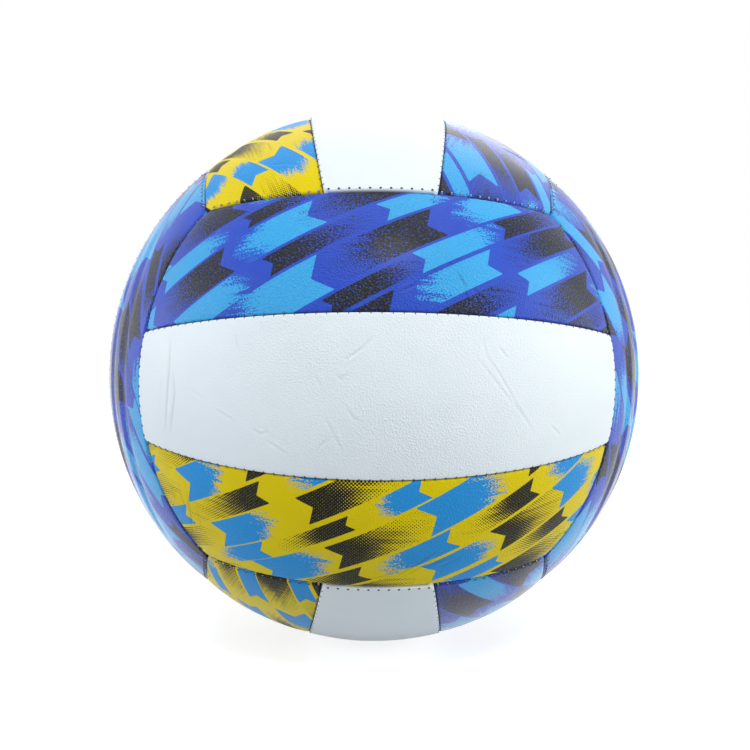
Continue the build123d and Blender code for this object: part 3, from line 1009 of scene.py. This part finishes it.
# bladder: a dipped rubber ball with a mould line round it and a hole for the valve
bladderLook = {
    "outer": 100.64, "drawnIn": 0.1, "inner": 99.94, "hole": 6.1,
    "line": 0.08, "lineWidth": 0.02, "around": 96, "along": 64, "weld": 1e-6,
}
startTurn = math.asin(bladderLook["hole"] / bladderLook["outer"])
turnsDown = np.linspace(startTurn, math.pi, bladderLook["along"])
fromLine = (turnsDown - math.pi / 2) / bladderLook["lineWidth"]
lineBump = bladderLook["line"] * np.exp(-(fromLine**2))
halfRound = np.stack((np.sin(turnsDown), np.cos(turnsDown)), -1)
profile = np.concatenate((
    halfRound * (bladderLook["outer"] - bladderLook["drawnIn"] + lineBump)[:, None],
    (halfRound * bladderLook["inner"])[::-1],
))
turnsRound = np.linspace(0, 2 * math.pi, bladderLook["around"], endpoint=False)
number = np.arange(len(profile) * len(turnsRound)).reshape(len(profile), len(turnsRound))
verts = np.stack((
    profile[:, :1] * np.cos(turnsRound),
    np.broadcast_to(profile[:, 1:], number.shape),
    profile[:, :1] * np.sin(turnsRound),
), -1).reshape(-1, 3)
beside = np.roll(number, -1, 1)
rings = np.stack((number, beside, np.roll(beside, -1, 0), np.roll(number, -1, 0)), -1)
bladder = newPiece(
    "bladderBall", verts, rings.reshape(-1, 4).tolist(),
    [plains["bladder"]], ["bladder"],
)
faceOutwards(bladder.data, bladderLook["weld"])

# the valve keeps its solids, with a better finish
for nodeName in ("valve_housing", "valve_plug"):
    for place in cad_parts[nodeName].material_slots:
        place.material = plains["valve"]
print("bladder and valve dressed")

# camera: the photograph's own place, from the seams' fit
cameraLook = {
    "distance": 3.782,  # in radii of the ball
    "elevation": 3.672, "yaw": 1.303, "roll": 0.403,
    "lens": 46.46, "shift": (0.0012, 0.0008), "nearest": 0.01,
}
view = Matrix.Identity(3)
for key, axis in (("roll", "Y"), ("elevation", "X"), ("yaw", "Z")):
    view = view @ Matrix.Rotation(math.radians(cameraLook[key]), 3, axis)
toWorld = view.transposed()
camera = bpy.data.objects.new("camera", bpy.data.cameras.new("camera"))
scene.collection.objects.link(camera)
camera.data.lens = cameraLook["lens"]
camera.data.shift_x, camera.data.shift_y = cameraLook["shift"]
camera.data.clip_start = cameraLook["nearest"]
right, ahead, up = (toWorld @ Vector(axis) for axis in ((1, 0, 0), (0, 1, 0), (0, 0, 1)))
placed = Matrix((right, up, -ahead)).transposed().to_4x4()
placed.translation = ahead * (-cameraLook["distance"] * ballRadius * mm)
camera.matrix_world = placed
scene.camera = camera

# light: a white studio, with wide soft lamps at both sides, above and, weaker, behind,
# and a narrower one high in front that brings out the grain
lightLook = {
    "world": "#f0f4f9", "worldStrength": 0.14,
    "lamps": {  # where from, spread in degrees, power and colour
        "leftSoft": ((-1.0, -0.05, 0.08), 50, 2.12, "#ffffff"),
        "rightSoft": ((0.98, -0.14, 0.14), 50, 2.50, "#fafaf0"),
        "topSoft": ((0.0, -0.35, 0.94), 50, 1.08, "#ffffff"),
        "frontKey": ((0.12, -0.58, 0.805), 16, 1.20, "#ffffff"),
        "backSoft": ((0.1, 0.7, 0.7), 50, 0.62, "#ffffff"),
    },
}


def showsBackdrop(tree):
    # 1 for the rays that show the backdrop: straight to the camera, through glass or mirrored
    path = addNode(tree, "LightPath")
    shows = path["Is Camera Ray"]
    for ray in ("Is Transmission Ray", "Is Glossy Ray"):
        shows = addNode(tree, "Math", (shows, path[ray]), operation="MAXIMUM")[0]
    return shows


world = bpy.data.worlds.new("studio")
scene.world = world
world.use_nodes = True
tree = world.node_tree
tree.nodes.clear()
soft = addNode(tree, "Background", {
    "Color": linear(lightLook["world"]), "Strength": lightLook["worldStrength"],
})[0]
white = addNode(tree, "Background", {"Color": (1, 1, 1, 1), "Strength": 1.0})[0]
both = addNode(tree, "MixShader", (showsBackdrop(tree), soft, white))[0]
addNode(tree, "OutputWorld", {"Surface": both})
for name, (fromWhere, spread, power, colour) in lightLook["lamps"].items():
    data = bpy.data.lights.new(name, "SUN")
    data.energy, data.angle = power, math.radians(spread)
    data.color = linear(colour)[:3]
    light = bpy.data.objects.new(name, data)
    light.location = fromWhere
    light.rotation_mode = "QUATERNION"
    light.rotation_quaternion = (-Vector(fromWhere)).to_track_quat("-Z", "Y")
    scene.collection.objects.link(light)

# the floor: matt white card, lit to white, that still takes the ball's shadow
floorLook = {"half": 6.0, "colour": "#c4c6c8", "glow": 0.80}
half, ground = floorLook["half"], -ballRadius * mm
corners = ((-half, -half), (half, -half), (half, half), (-half, half))
mesh = bpy.data.meshes.new("floor")
mesh.from_pydata([(x, y, ground) for x, y in corners], [], [(0, 1, 2, 3)])
floor = bpy.data.objects.new("floor", mesh)
scene.collection.objects.link(floor)
material, tree = newMaterial("MattWhiteCard")
matt = addNode(tree, "BsdfDiffuse", {"Color": linear(floorLook["colour"])})[0]
glow = addNode(tree, "Emission", {"Strength": floorLook["glow"]})[0]
dark = addNode(tree, "Emission", {"Strength": 0.0})[0]
lit = addNode(tree, "MixShader", (showsBackdrop(tree), dark, glow))[0]
surface = addNode(tree, "AddShader", (matt, lit))[0]
addNode(tree, "OutputMaterial", {"Surface": surface})
mesh.materials.append(material)
scene.view_settings.view_transform = "Standard"
print("camera, light and floor set")
